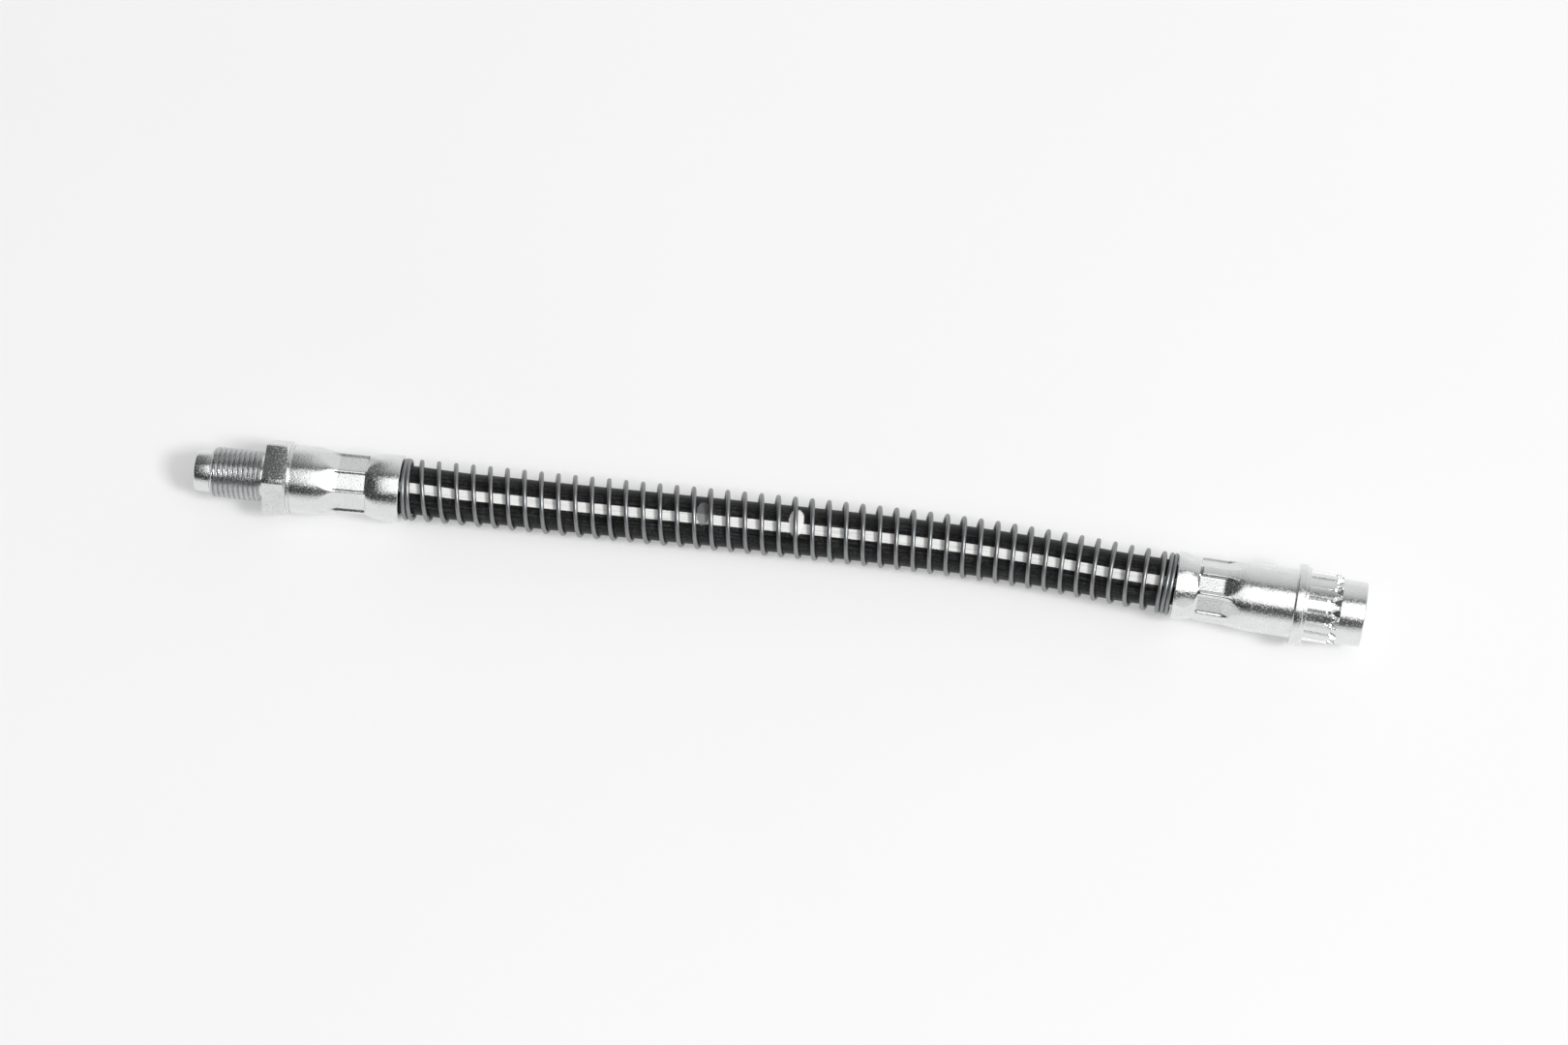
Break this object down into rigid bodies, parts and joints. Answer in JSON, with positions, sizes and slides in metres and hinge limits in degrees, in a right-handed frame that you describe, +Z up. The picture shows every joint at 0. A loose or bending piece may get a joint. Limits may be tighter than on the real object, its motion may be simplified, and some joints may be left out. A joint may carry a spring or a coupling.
{
  "type": "brake hose",
  "caption": "Flexible rubber hydraulic brake hose in a wire spring guard, crimped at its ends to a male threaded hexagon fitting and a splined, collared female fitting.",
  "frame": {"origin": "centre of the bottom of the box around the two end fittings, on the surface that the hose lies on", "axes": "+X along the hose from the male end to the female end, +Y across it, +Z up"},
  "size_m": [0.2316, 0.0182, 0.016],
  "materials": {
    "zinc_plated_steel": "bright zinc plating on turned and crimped steel",
    "insert_steel": "plain turned steel",
    "spring_wire": "satin drawn spring wire",
    "cover_rubber": "satin extruded black rubber with a white painted line",
    "inner_rubber": "plain black rubber",
    "textile_braid": "braided synthetic yarn"
  },
  "bodies": {
    "root": {"male_end_fitting": "zinc_plated_steel", "female_end_fitting": "zinc_plated_steel", "male_insert": "insert_steel", "female_insert": "insert_steel", "spring_guard": "spring_wire", "hose_cover": "cover_rubber", "hose_outer_braid": "textile_braid", "hose_middle_layer": "inner_rubber", "hose_inner_braid": "textile_braid", "hose_inner_tube": "inner_rubber"}
  },
  "joints": []
}
